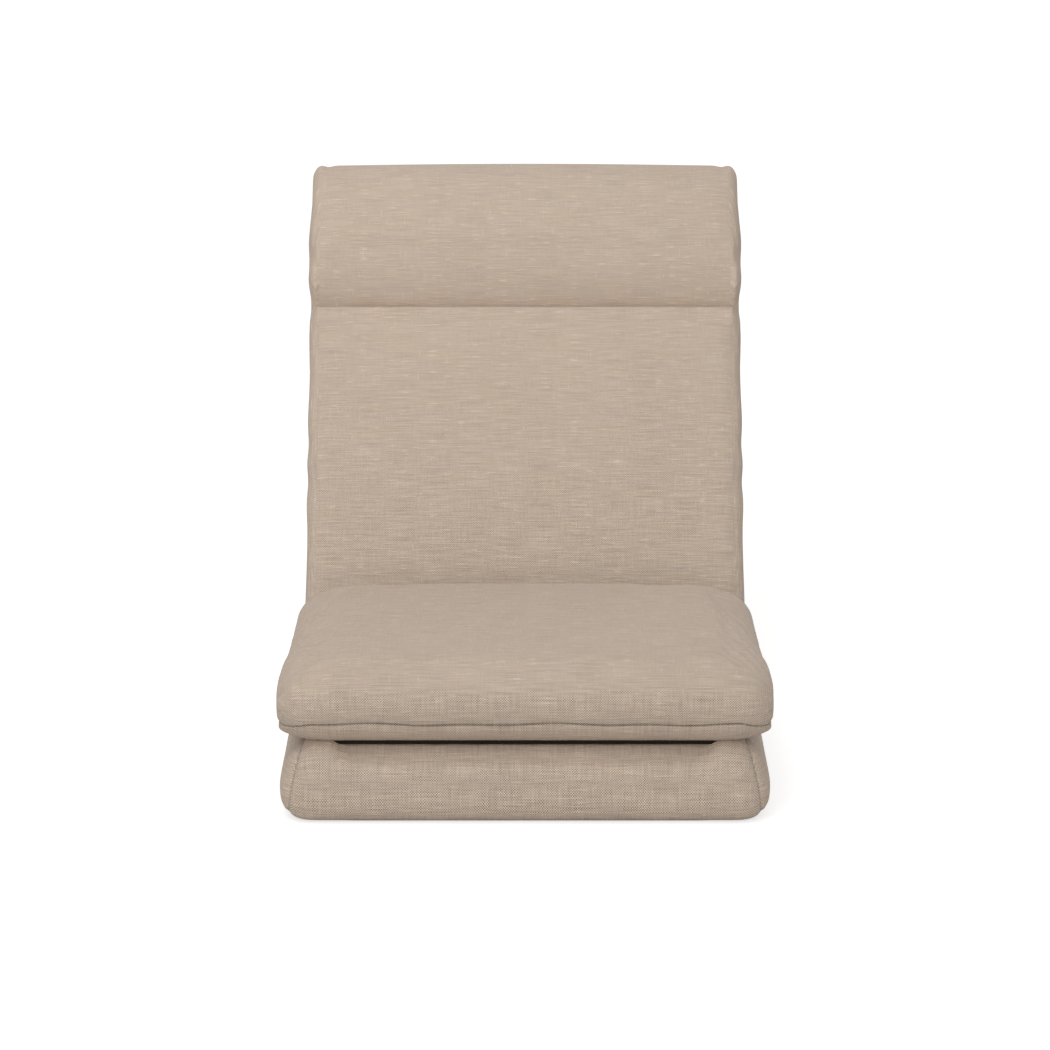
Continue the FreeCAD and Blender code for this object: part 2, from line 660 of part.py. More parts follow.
def seat_cushion():
    """The loose-looking upper cushion: cover, foam block and the zip in its rear edge."""
    outer, inner = cushion_solid(0), cushion_solid(shell)
    wall = outer.cut(inner)
    height, tape_half = size("zip_cushion_z"), size("zip_tape") * 0.8
    window = box(-zip_half, zip_half, -2 * size("cushion_rear"), 0,
                 height - tape_half, height + tape_half)
    tape = wall.common(box(-zip_half + slack, zip_half - slack, -2 * size("cushion_rear"), 0,
                           height - tape_half + slack, height + tape_half - slack))
    cloth_piece("cushion_cover", wall.cut(window))
    cloth_piece("cushion_zip_tape", tape)
    cloth_piece("cushion_foam", cushion_solid(skin))


def flip_strip():
    """The cloth hinge in the notch between the round front edges of base and cushion."""
    low_centre = -size("base_reach") + pad_half
    radius = size("cushion_thick") / 2
    high_centre = -size("base_reach") + size("cushion_setback") + radius
    y = -size("base_reach") + size("strip_inset")
    low = pad_half + math.sqrt(pad_half ** 2 - (y - low_centre) ** 2)
    high = (2 * pad_half + slack + radius
            - math.sqrt(radius ** 2 - (y - high_centre) ** 2))
    reach = half_width - size("strip_margin")
    strip = box(-reach, reach, y - size("gusset"), y, low - 3, high + 3)
    cloth_piece("flip_hinge_strip", cut_all(strip, [base_solid(-slack), cushion_solid(-slack)]))


def hinge_gusset():
    """The cloth sleeve over the hinge gap, which wraps the outside and dips between the pads,
    and the firm pad inside it that the rear of the chair stands on."""
    lean = math.radians(size("recline"))
    along, facing = Vector(0, math.sin(lean), math.cos(lean)), Vector(0, -math.cos(lean),
                                                                    math.sin(lean))
    pivot = Vector(0, 0, pad_half)
    base_centre = pivot - Vector(0, size("hinge_inset"), 0)
    back_centre = pivot + along * size("hinge_inset")
    bridge = back_centre - base_centre
    bridge.normalize()
    above = Vector(0, -bridge.z, bridge.y)

    def sleeve(x_reach, wall):
        """The solid sleeve with its outer walls moved inwards by wall."""
        radius = pad_half - wall
        down = Vector(0, 0, -1)
        middle = down - facing
        middle.normalize()
        rise = above * (size("gusset_dip") - wall)
        corners = [base_centre + down * radius, pivot + down * radius,
                   pivot - facing * radius, back_centre - facing * radius,
                   back_centre + rise, base_centre + rise]
        edges = [Part.LineSegment(corners[0], corners[1]).toShape(),
                 Part.Arc(corners[1], pivot + middle * radius, corners[2]).toShape()]
        ring = corners[2:] + corners[:1]
        edges += [Part.LineSegment(here, there).toShape()
                  for here, there in zip(ring, ring[1:])]
        face = Part.Face(Part.Wire(edges))
        face.translate(Vector(-x_reach, 0, 0))
        return face.extrude(Vector(2 * x_reach, 0, 0))

    reach = hinge_out + size("gusset_margin")
    body = sleeve(reach, 0).cut(sleeve(reach - size("gusset"), size("gusset")))
    for centre in (base_centre, back_centre):
        body = body.cut(Part.makeCylinder(pad_half + slack, wide, centre - Vector(half_width, 0, 0),
                                          Vector(1, 0, 0)))
    sill_half = reach - size("gusset") - slack
    sill = sleeve(sill_half, 0).common(box(-sill_half, sill_half, -deep, size("sill_reach"), 0,
                                           size("sill_high")))
    cloth_piece("hinge_floor_pad", sill.cut(base_solid(-slack)))
    sill_room = box(-reach + size("gusset"), reach - size("gusset"), -deep,
                    size("sill_reach") + slack, -1, size("sill_high") + slack)
    cloth_piece("hinge_gusset", body.cut(sill_room))


# Building
base_cushioning()
frame = bent_tube("base_frame_tube", BASE_SPREAD, BASE_TUBE_REACH, -1,
                  ["Sizes.rivet_first", "Sizes.rivet_first + Sizes.rivet_step"])
place(frame, z=HINGE_HEIGHT)
cross_tube("base_cross_tube_front", BASE_SPREAD, "-Sizes.base_cross_front")
cross_tube("base_cross_tube_rear", BASE_SPREAD, "-Sizes.base_cross_rear")
for name, face, sign in (("hinge_cheek_outer", CHEEK_OUT, " +"),
                         ("hinge_cheek_inner", CHEEK_IN, " -")):
    mirror_source = cheek_plate(name + "_right", face, sign)
    keep(mirrored(mirror_source, name + "_left"))
both_sides(rivet("pivot_rivet", CHEEK_IN + " - Sizes.cheek", CHEEK_OUT + " + Sizes.cheek",
                 "Sizes.pivot_pin"), "pivot_rivets")
both_sides(rivet("pawl_rivet", CHEEK_IN + " - Sizes.cheek", CHEEK_OUT + " + Sizes.cheek",
                 "Sizes.pawl_pin", y=PAWL_Y, z=PAWL_Z), "pawl_rivets")
both_sides(rivet("base_tube_rivet", CHEEK_IN + " - Sizes.cheek", CHEEK_OUT + " + Sizes.cheek",
                 "Sizes.small_pin", y="-(Sizes.rivet_first + Sizes.rivet_step) * 1mm",
                 along="Sizes.rivet_step"), "base_tube_rivets")
BESIDE_PLATE = [(CHEEK_IN + " + Sizes.side_gap", CAM_IN + " - Sizes.side_gap"),
                (CAM_OUT + " + Sizes.side_gap", CHEEK_OUT + " - Sizes.side_gap")]
both_sides(spacer_pair("pivot_spacer", "Sizes.pivot_pin", "Sizes.pivot_pin * 2", BESIDE_PLATE),
           "pivot_spacers")
both_sides(spacer_pair("pawl_spacer", "Sizes.pawl_pin", "Sizes.pawl_pin * 2", BESIDE_PLATE[1:],
                       y=PAWL_Y, z=PAWL_Z), "pawl_spacers")
keep(mirrored(torsion_spring("pawl_spring_right"), "pawl_spring_left"))
keep(mirrored(pawl("pawl_right"), "pawl_left"))

back_cushioning()
frame = bent_tube("back_frame_tube", BACK_SPREAD, BACK_TUBE_REACH, 1,
                  ["Sizes.rivet_first", "Sizes.rivet_first + Sizes.rivet_step"])
place(frame, z=HINGE_HEIGHT, angle=BACK_ANGLE)
for level in ("low", "mid", "high"):
    cross_tube("back_cross_tube_" + level, BACK_SPREAD, "Sizes.back_cross_" + level, BACK_ANGLE)
keep(mirrored(ratchet_cam("ratchet_cam_right"), "ratchet_cam_left"))
LEAN = "(90 - Sizes.recline) * 1deg"
both_sides(rivet("cam_rivet", BACK_SPREAD + " - Sizes.tube / 2", CAM_OUT, "Sizes.small_pin",
                 y="Sizes.rivet_first * cos(" + LEAN + ") * 1mm",
                 z="(Sizes.pad_half + Sizes.rivet_first * sin(" + LEAN + ")) * 1mm",
                 angle=BACK_ANGLE, along="Sizes.rivet_step"), "cam_rivets")
hinge_gusset()

seat_cushion()
flip_strip()
closed_end = -zip_half + size("slider_long")
back_slider = zip_slider("back_zip_slider")
back_slider.Placement = on_the_back().multiply(FreeCAD.Placement(
    Vector(closed_end, size("zip_back_s"), -pad_half - slack), Rotation(Vector(1, 0, 0), 180)))
cushion_slider = zip_slider("cushion_zip_slider")
cushion_slider.Placement = from_hinge().multiply(FreeCAD.Placement(
    Vector(closed_end, -size("cushion_rear") + slack, size("zip_cushion_z")),
    Rotation(Vector(1, 0, 0), -90)))
doc.recompute()

for item in doc.Objects:
    if any(flag in item.State for flag in ("Invalid", "Error")):
        raise RuntimeError("not built: " + item.Label)
for node in NODES:
    if node.Shape.isNull() or not node.Shape.isValid() or not node.Shape.Solids:
        raise RuntimeError("not a valid solid: " + node.Label)
for node in NODES:
    node.Shape.exportStep("parts/" + node.Label + ".step")
    print("%-26s %2d solids %10.1f mm3" % (node.Label, len(node.Shape.Solids),
                                          node.Shape.Volume))
print(len(NODES), "nodes")
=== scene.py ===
"""The folding floor chair's looks: linen pads, seams, zips, hinge cloth, hardware, floor, light and
camera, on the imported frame. Lengths are in millimetres until a mesh is made, which is in metres."""
import json
import math

import bpy
import numpy as np
from mathutils import Matrix, Vector


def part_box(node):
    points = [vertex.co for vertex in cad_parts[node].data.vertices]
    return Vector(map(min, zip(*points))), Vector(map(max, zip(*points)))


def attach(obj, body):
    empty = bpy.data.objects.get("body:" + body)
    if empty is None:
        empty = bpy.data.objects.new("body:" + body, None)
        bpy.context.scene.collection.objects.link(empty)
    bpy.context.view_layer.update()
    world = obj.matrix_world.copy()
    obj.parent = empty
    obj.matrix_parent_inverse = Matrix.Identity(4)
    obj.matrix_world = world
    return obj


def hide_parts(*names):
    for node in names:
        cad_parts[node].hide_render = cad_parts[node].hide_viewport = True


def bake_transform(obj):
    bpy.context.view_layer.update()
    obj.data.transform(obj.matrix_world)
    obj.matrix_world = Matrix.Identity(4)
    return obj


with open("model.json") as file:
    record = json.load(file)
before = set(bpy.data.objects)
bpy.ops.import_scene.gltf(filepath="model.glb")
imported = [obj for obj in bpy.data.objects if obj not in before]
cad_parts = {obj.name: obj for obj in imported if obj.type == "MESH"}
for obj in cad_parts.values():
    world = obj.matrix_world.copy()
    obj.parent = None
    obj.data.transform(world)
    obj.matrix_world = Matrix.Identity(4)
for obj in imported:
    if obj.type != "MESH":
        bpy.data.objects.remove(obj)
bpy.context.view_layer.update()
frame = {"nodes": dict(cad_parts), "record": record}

MM = 0.001

# Driving sizes, the frame's own or worked out from them
WIDTH = 565
PAD_HALF = 46
BASE_REACH = 500
BACK_REACH = 685
HINGE_INSET = 64
HINGE_Y = 77.004
RECLINE = 28
CUSHION_LOW = 2 * PAD_HALF + 0.3
CUSHION_THICK = 89
CUSHION_HALF = WIDTH / 2 + 3
CUSHION_FRONT = -BASE_REACH + 3
CUSHION_REAR = -58
CREASE = 471
FLAT_HALF = 0.65 * WIDTH / 2
ZIP_HALF = WIDTH / 2 - 67.5
ZIP_BACK = 104
ZIP_CUSHION = 138
GUSSET_HALF = WIDTH / 2 - 28.5

# Sizes of the looks alone
SIDE_SEAM = WIDTH / 2 - 15
FRONT_SEAM = 118
HEAD_RISE = 16.5
BACK_TAPE_HALF = 11.7
CUSHION_TAPE_HALF = 9.3

# The pads' rounded sides: how far in the rounding starts, and how far it falls
BASE_SIDE = (40, 38)
BACK_SIDE = (20, 18)
CUSHION_SIDE = (42, 30)

# How the cloth pads are made
VOXEL = 6
SHRINK = 0.5
PUFF_FRAMES = 20
PRESSURE = 4.0
SINK = 0.3
SLIDE = 1.2
SEAM_HOLD = 5
BASE_CAP = 2.5
BACK_CAP = 3
CUSHION_CAP = 4

FROM_HINGE = Matrix.Translation((0, HINGE_Y, 0))
ON_THE_BACK = (Matrix.Translation((0, HINGE_Y, PAD_HALF))
               @ Matrix.Rotation(math.radians(90 - RECLINE), 4, "X"))


# Outlines: closed rings of (depth, height) points
def bow(start, stop, rise, count=16):
    """Points from start up to stop, bowed to the left of the way by rise."""
    start, stop = np.array(start, float), np.array(stop, float)
    way = (stop - start) / np.linalg.norm(stop - start)
    side = np.array((-way[1], way[0]))
    steps = np.arange(count)[:, None] / count
    return start + (stop - start) * steps + side * rise * 4 * steps * (1 - steps)


def arc(centre, radius, start, stop, count=16):
    """Points on an arc from the start angle up to the stop angle, in degrees."""
    angles = np.radians(start + (stop - start) * np.arange(count) / count)
    return np.array(centre) + radius * np.stack([np.cos(angles), np.sin(angles)], 1)


def pad_outline(front, rear, low, high, inset, crown=0.0):
    """A flat pad with round front and rear edges."""
    front, rear, low, high = front + inset, rear - inset, low + inset, high - inset
    radius, middle = (high - low) / 2, (high + low) / 2
    nose, tail = (front + radius, middle), (rear - radius, middle)
    return np.concatenate([
        arc(tail, radius, -90, 90, 32),
        bow((tail[0], high), (nose[0], high), -crown, 60),
        arc(nose, radius, 90, 270, 32),
        bow((nose[0], low), (tail[0], low), 0, 60)])


def back_outline(inset):
    """The back pad: flat rear, round ends, and a front whose headrest rolls over a crease."""
    half = PAD_HALF - inset
    top = BACK_REACH - inset
    crown = BACK_REACH - PAD_HALF
    brow_step, brow_rise = 6, 2
    roll_length, crease_depth = 60, 15
    lip_step, lip_rise = 22, 3
    top_bow, front_bow, roll_bow, lip_bow, lumbar_bow = 9, 6, 14, 4, 6.5
    brow = (crown + brow_step, half + brow_rise)
    chin = (CREASE + roll_length + inset, half + HEAD_RISE)
    fold = (CREASE, half - crease_depth)
    lip = (CREASE - lip_step, half + lip_rise)
    return np.concatenate([
        bow((HINGE_INSET, -half), (crown, -half), 0, 70),
        arc((crown, 0), half, -90, 0),
        bow((top, 0), brow, -top_bow),
        bow(brow, chin, -front_bow, 30),
        bow(chin, fold, -roll_bow, 20),
        bow(fold, lip, -lip_bow, 10),
        bow(lip, (HINGE_INSET, half), -lumbar_bow, 60),
        arc((HINGE_INSET, 0), half, 90, 270, 32)])


def stations(half, rounding, taper, middle=41):
    """(x, extra inset) from the left side to the right side, close together on the roundings."""
    angles = np.radians(np.linspace(90, 0, 13))
    across = half - rounding * (1 - np.sin(angles))
    inset = taper * (1 - np.cos(angles))
    flat = np.linspace(half - rounding, 0, middle)[1:-1]
    right = list(zip(across, inset)) + [(x, 0.0) for x in flat]
    return [(-x, i) for x, i in right] + [(0.0, 0.0)] + right[::-1]


def loft(name, rings, placement):
    """A closed mesh through rings of (x, depth, height) points."""
    count = len(rings[0])
    points = [placement @ Vector(p) * MM for ring in rings for p in ring]
    faces = []
    for row in range(len(rings) - 1):
        for i in range(count):
            j = (i + 1) % count
            faces.append((row * count + i, (row + 1) * count + i,
                          (row + 1) * count + j, row * count + j))
    last = (len(rings) - 1) * count
    faces.append(tuple(range(count)))
    faces.append(tuple(last + i for i in reversed(range(count))))
    return new_piece(name, points, faces)


def new_piece(name, points, faces):
    mesh = bpy.data.meshes.new(name)
    mesh.from_pydata([tuple(p) for p in points], [], faces)
    mesh.validate()
    mesh.update()
    piece = bpy.data.objects.new(name, mesh)
    bpy.context.scene.collection.objects.link(piece)
    return piece


def ringed(half, rounding, taper, outline):
    """Rings of (x, depth, height) for an outline function of x and inset."""
    return [[(x, u, v) for u, v in outline(x, inset)]
            for x, inset in stations(half, rounding, taper)]


# Mesh work
def read_points(mesh):
    flat = np.empty(len(mesh.vertices) * 3)
    mesh.vertices.foreach_get("co", flat)
    return flat.reshape(-1, 3)


def write_points(mesh, points):
    mesh.vertices.foreach_set("co", np.asarray(points, float).ravel())
    mesh.update()


def baked(piece):
    """The piece's mesh with its modifiers applied and taken off."""
    graph = bpy.context.evaluated_depsgraph_get()
    mesh = bpy.data.meshes.new_from_object(piece.evaluated_get(graph))
    mesh.name = piece.name
    piece.modifiers.clear()
    piece.data = mesh
    return mesh


def remesh(piece, voxel=VOXEL):
    modifier = piece.modifiers.new("Remesh", "REMESH")
    modifier.mode = "VOXEL"
    modifier.voxel_size = voxel * MM
    baked(piece)
    smoothing = piece.modifiers.new("Smooth", "SMOOTH")
    smoothing.factor = 0.5
    smoothing.iterations = 6
    baked(piece)


def subdivide(piece):
    modifier = piece.modifiers.new("Subdivision", "SUBSURF")
    modifier.levels = modifier.render_levels = 1
    baked(piece)


def shade_smooth(piece):
    piece.data.polygons.foreach_set("use_smooth", [True] * len(piece.data.polygons))


def local_points(piece, placement):
    """The piece's points in millimetres in the pad's own frame."""
    points = read_points(piece.data) / MM
    inverse = np.array(placement.inverted())
    return points @ inverse[:3, :3].T + inverse[:3, 3]


def set_local_points(piece, placement, points):
    matrix = np.array(placement)
    write_points(piece.data, (points @ matrix[:3, :3].T + matrix[:3, 3]) * MM)


def puff(piece, pinned, cap):
    """Blows the cloth up from inside, holding the pinned share of each point. No point ends
    further out than the cap, or further in or along the cloth than SINK and SLIDE."""
    group = piece.vertex_groups.new(name="pinned")
    for index, share in enumerate(pinned):
        if share > 0.01:
            group.add([index], float(share), "REPLACE")
    start = read_points(piece.data)
    out = np.array([vertex.normal for vertex in piece.data.vertices])
    modifier = piece.modifiers.new("Cloth", "CLOTH")
    cloth = modifier.settings
    cloth.quality = 5
    cloth.mass = 0.3
    cloth.use_pressure = True
    cloth.uniform_pressure_force = PRESSURE
    cloth.effector_weights.gravity = 0
    cloth.vertex_group_mass = "pinned"
    modifier.collision_settings.use_collision = False
    modifier.point_cache.frame_start = 1
    modifier.point_cache.frame_end = PUFF_FRAMES
    for step in range(1, PUFF_FRAMES + 1):
        bpy.context.scene.frame_set(step)
    way = (read_points(baked(piece)) - start) / MM
    rise = (way * out).sum(1, keepdims=True)
    sideways = way - out * rise
    rise = np.where(rise > 0, cap * np.tanh(rise / cap), SINK * np.tanh(rise / SINK))
    length = np.maximum(np.linalg.norm(sideways, axis=1, keepdims=True), 1e-6)
    sideways *= SLIDE * np.tanh(length / SLIDE) / length
    write_points(piece.data, start + (out * rise + sideways) * MM)
    bpy.context.scene.frame_set(1)


def ramp(value, start, stop):
    """0 before start, 1 after stop, smooth between."""
    share = np.clip((value - start) / (stop - start), 0, 1)
    return share * share * (3 - 2 * share)


def ridge(distance, width):
    """1 on a line and 0 away from it, as a smooth bump."""
    return np.exp(-(distance / width) ** 2)


def along(outline, u, v):
    """How far along the closed outline the nearest point to each (u, v) lies."""
    start = outline
    step = np.roll(outline, -1, axis=0) - start
    size = np.linalg.norm(step, axis=1)
    before = np.concatenate([[0], np.cumsum(size)[:-1]])
    result = np.empty(len(u))
    batch = 4000
    for first in range(0, len(u), batch):
        part = np.stack([u[first:first + batch], v[first:first + batch]], 1)[:, None]
        share = np.clip(((part - start) * step).sum(2) / (size ** 2), 0, 1)
        gap = np.linalg.norm(part - start - step * share[..., None], axis=2)
        best = gap.argmin(1)
        rows = np.arange(len(best))
        result[first:first + batch] = before[best] + size[best] * share[rows, best]
    return result


def across(x, half, rounding, taper):
    """How far over the cloth each x lies from the middle, following the rounded side."""
    angles = np.radians(np.linspace(0, 90, 30))
    places = half - rounding * (1 - np.sin(angles))
    insets = taper * (1 - np.cos(angles))
    lengths = np.concatenate([[0], np.cumsum(np.hypot(np.diff(places), np.diff(insets)))])
    over = np.interp(np.abs(x), places, places[0] + lengths)
    return np.sign(x) * np.where(np.abs(x) < places[0], np.abs(x), over)


def set_attribute(piece, name, values):
    kind = "FLOAT" if values.ndim == 1 else "FLOAT_VECTOR"
    attribute = piece.data.attributes.new(name, kind, "POINT")
    field = "value" if values.ndim == 1 else "vector"
    attribute.data.foreach_set(field, np.asarray(values * MM, np.float32).ravel())


def lay_weave(piece, points, outline, half, rounding, taper, edge, seam, open_weave):
    """Cloth coordinates: over the pad's main cloth and over its side panel, the distance past
    the edge between the two and from the seam, and how open and coarse the weave looks."""
    x, u, v = points.T
    main = np.stack([across(x, half, rounding, taper), along(outline, u, v), edge], 1)
    side = np.stack([u, v, edge], 1)
    set_attribute(piece, "main_cloth", main)
    set_attribute(piece, "side_cloth", side)
    set_attribute(piece, "seam", seam)
    set_attribute(piece, "open_weave", open_weave / MM)


def push(points, centre_u, centre_v, amount):
    """Moves points out from a line along x through (centre_u, centre_v) by amount."""
    x, u, v = points.T
    du, dv = u - centre_u, v - centre_v
    size = np.maximum(np.hypot(du, dv), 1e-6)
    return np.stack([x, u + du / size * amount, v + dv / size * amount], 1)


# Pads. In a pad's own frame x runs across it and v or t up through it. The back's s runs up from
# the hinge axis, and the seat's u runs to the rear, so that -u is the distance ahead of the axis.
def finish_pad(piece, body, material, replaced):
    shade_smooth(piece)
    piece.data.materials.clear()
    piece.data.materials.append(material)
    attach(piece, body)
    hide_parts(*replaced)


def squareness(ahead, below):
    """0 straight ahead of and straight below an edge's centre line, 1 half way between."""
    ahead, below = np.maximum(ahead, 0), np.maximum(below, 0)
    return 4 * (ahead * below) ** 2 / np.maximum(ahead ** 2 + below ** 2, 1) ** 2


def base_seam(x, v):
    """How far past the base's side seam each point lies. The seam bends in above and below."""
    bend = 4 * ((v - PAD_HALF) / PAD_HALF) ** 2
    return np.abs(x) - (SIDE_SEAM - bend)


def base_front(x, u, v):
    """How the base's filled front differs from a plain round edge: squarer low down, rolled off
    under the middle of the cushion, and at its ends narrower above and wider below."""
    ahead, below = -BASE_REACH + PAD_HALF - u, PAD_HALF - v
    fuller = 0.25 * squareness(ahead, below)
    rolled_off, corner_share = 9, 1.45
    roll = ramp(-u, 430, 475) * (1 - corner_share * ramp(np.abs(x), 196, 234))
    spread = np.interp(v, (8, 72, 86), (8.5, -4.5, -9)) * ramp(-u, 330, 430)
    return np.stack([np.sign(x) * spread * ramp(np.abs(x), 205, 255),
                     -fuller * ahead,
                     -fuller * below - rolled_off * roll * ramp(v, 62, 86)], 1)


def base_pad():
    """The base layer, grooved along its side seams, with a flat floor for the dark cloth."""
    def outline(x, inset):
        return pad_outline(-BASE_REACH, PAD_HALF - HINGE_INSET, 0, 2 * PAD_HALF,
                           inset + SHRINK)

    piece = loft("base_pad", ringed(WIDTH / 2 - SHRINK, *BASE_SIDE, outline), FROM_HINGE)
    remesh(piece)
    x, u, v = local_points(piece, FROM_HINGE).T
    puff(piece, ridge(base_seam(x, v), SEAM_HOLD), BASE_CAP)
    subdivide(piece)
    points = local_points(piece, FROM_HINGE)
    x, u, v = points.T
    seam = base_seam(x, v)
    groove, side_groove, groove_width = 1.6, 0.6, 3
    points[:, 0] -= np.sign(x) * ridge(seam, groove_width) * side_groove
    middle = np.clip(u, -BASE_REACH + PAD_HALF, -HINGE_INSET)
    sunk = push(points, middle, PAD_HALF, -groove * ridge(seam, groove_width))
    sunk += base_front(x, u, v)
    cloth_side, cloth_front, above_cloth, above_floor = 46, 66, 1.7, 0.2
    over_cloth = (np.abs(x) < WIDTH / 2 - cloth_side) & (u > -BASE_REACH + cloth_front)
    sunk[:, 2] = np.clip(sunk[:, 2], np.where(over_cloth, above_cloth, above_floor),
                         2 * PAD_HALF)
    set_local_points(piece, FROM_HINGE, sunk)
    lay_weave(piece, sunk, outline(0, 0), WIDTH / 2, *BASE_SIDE, seam, seam,
              (0.5 + 0.48 * ramp(-u, 440, 470)) * (1 - 0.7 * ramp(seam, -2, 4)))
    finish_pad(piece, "base", LINEN,
               ("base_cover", "base_foam_lower", "base_foam_upper"))


def headrest_roll(s):
    """The front face's height near the crease, where the headrest rolls under to meet the flat
    of the back, and how far it holds at s, 0 to 1."""
    length, low, high, flat = 85, 29, PAD_HALF + HEAD_RISE, 48.5
    roll = np.clip((s - CREASE) / length, 0, 1)
    height = np.where(s < CREASE, flat, low + (high - low) * (1 - (1 - roll) ** 2) ** 0.75)
    share = ramp(s, CREASE - 32, CREASE - 20) * (1 - ramp(s, CREASE + 72, CREASE + 96))
    return height, share


def back_edges(x, s):
    """The small slack in the back's sides, as (x, along, out): waves down the sides, an ear at
    each top corner with a dip beside it, and a top edge that is highest in the middle."""
    wave = 0.7 * np.sin(s / 13 + 2 * np.sin(s / 41)) * ramp(np.abs(x), 260, 280)
    ear = 2.4 * ridge(np.abs(x) - SIDE_SEAM - 4, 7)
    dip = 1.8 * ridge(np.abs(x) - SIDE_SEAM + 8, 6)
    crown = 3.1 * (1 - np.cos(x / WIDTH * math.pi))
    top = ramp(s, BACK_REACH - 60, BACK_REACH - 20)
    return np.stack([np.sign(x) * wave, top * (ear - dip - crown), np.zeros_like(x)], 1)


def back_pad():
    """The back, whose headrest is a roll above the crease."""
    def outline(x, inset):
        return back_outline(inset + SHRINK)

    back_half = WIDTH / 2 - 1.7
    piece = loft("back_pad", ringed(back_half, *BACK_SIDE, outline), ON_THE_BACK)
    remesh(piece, 5)
    x, s, t = local_points(piece, ON_THE_BACK).T
    seam = np.abs(x) - SIDE_SEAM
    seam_share, crease_height, crease_hold = 0.2, 34, 14
    crease = np.hypot(s - CREASE, t - crease_height)
    held = np.maximum(seam_share * ridge(seam, SEAM_HOLD), ridge(crease, crease_hold))
    puff(piece, held, BACK_CAP)
    subdivide(piece)
    points = local_points(piece, ON_THE_BACK)
    x, s, t = points.T
    seam = np.abs(x) - SIDE_SEAM
    height, share = headrest_roll(s)
    share *= ramp(t, 22, 29) * (1 - ramp(np.abs(x), SIDE_SEAM, SIDE_SEAM + 10))
    shaped = points + back_edges(x, s)
    shaped[:, 2] += share * (height - t)
    set_local_points(piece, ON_THE_BACK, shaped)
    lay_weave(piece, shaped, outline(0, 0), WIDTH / 2, *BACK_SIDE, seam, seam,
              0.08 + 0.3 * (1 - ramp(s, 140, 430)))
    finish_pad(piece, "back", LINEN_BACK,
               ("backrest_cover", "back_foam_rear", "back_foam_front", "headrest_foam"))


def cushion_high(x):
    """How high the cushion's top edge line is at x, and how far it has fallen off, 0 to 1."""
    side_fall = 16
    fall = np.clip((np.abs(x) - FLAT_HALF) / (CUSHION_HALF - FLAT_HALF), 0, 1)
    return CUSHION_LOW + CUSHION_THICK - side_fall * fall ** 2, fall


def cushion_front(x, u, v):
    """How the cushion's front differs from a plain round edge: the lower panel sags over the
    base and falls back, and the corners bulge."""
    sag = ramp(-u, 450, 476) * (1 - ramp(v, 104, 122)) * (1 - ramp(np.abs(x), 222, 276))
    tuck = ramp(FRONT_SEAM - v, 0, 24) * ramp(-u, 440, 480)
    low_corner = ramp(-u, 400, 460) * (1 - ramp(v, 98, 114))
    bulge, low_bulge, tuck_depth, sag_depth = 5.5, 12, 13, 9.5
    spread = bulge * ridge(-u - 385, 75) + low_bulge * low_corner
    return np.stack([np.sign(x) * spread * ramp(np.abs(x), 200, 270), tuck_depth * tuck,
                     -sag_depth * sag], 1)


def side_folds(x, u, v):
    """Slack folds in the cushion's sides that run up and back from the front corners."""
    top_end, slope, spacing, fold_height = 215, 2.8, 8, 2.6
    reach = np.abs(x) - top_end
    band = ramp(reach, 0, 25) * (1 - ramp(reach, 62, 72)) * ramp(v, 122, 135)
    past = -u - reach * slope
    waves = np.sin(past / spacing + 2.2 * np.sin(u / 37 + 2 * np.sign(x)) + np.sign(x))
    share = ridge(-u - 390, 60) + 0.6 * ridge(-u - 230, 60)
    height = fold_height * band * share * ((1 + waves) / 2) ** 3
    return np.stack([np.sign(x) * height * 0.6, np.zeros_like(x), height * 0.8], 1)


def seat_pad():
    """The seat cushion, with a seam low on its front and slack folds in its sides."""
    def outline(x, inset):
        high, fall = cushion_high(x)
        return pad_outline(CUSHION_FRONT, CUSHION_REAR, CUSHION_LOW, float(high),
                           inset + SHRINK, crown=3 * (1 - float(fall)))

    piece = loft("seat_cushion", ringed(CUSHION_HALF - SHRINK, *CUSHION_SIDE, outline),
                 FROM_HINGE)
    remesh(piece)
    x, u, v = local_points(piece, FROM_HINGE).T
    seam_share = 0.6
    puff(piece, ridge(v - FRONT_SEAM, SEAM_HOLD) * seam_share, CUSHION_CAP)
    subdivide(piece)
    points = local_points(piece, FROM_HINGE)
    x, u, v = points.T
    corner = ramp(np.abs(x), 240, 285) * ramp(-u, 420, 480)
    waver = 1.2 * np.sin(x / 23) * np.sin(x / 61 + 1)
    corner_drop, half_thick, centre_height, groove, groove_width = 10, 44, 136, 1.8, 2.5
    seam = v - (FRONT_SEAM - corner_drop * corner + waver)
    middle = np.clip(u, CUSHION_FRONT + half_thick, CUSHION_REAR - half_thick)
    sunk = push(points, middle, centre_height, -groove * ridge(seam, groove_width))
    sunk[:, 2] = np.maximum(sunk[:, 2], CUSHION_LOW)
    sunk += cushion_front(x, u, v) + side_folds(x, u, v)
    set_local_points(piece, FROM_HINGE, sunk)
    lay_weave(piece, sunk, outline(0, 0), CUSHION_HALF, *CUSHION_SIDE,
              np.abs(x) - (CUSHION_HALF - 7), seam,
              0.15 + 0.75 * ramp(-u, 430, 460) * (1 - ramp(v, 146, 168)))
    finish_pad(piece, "cushion", LINEN_SEAT, ("cushion_cover", "cushion_foam"))


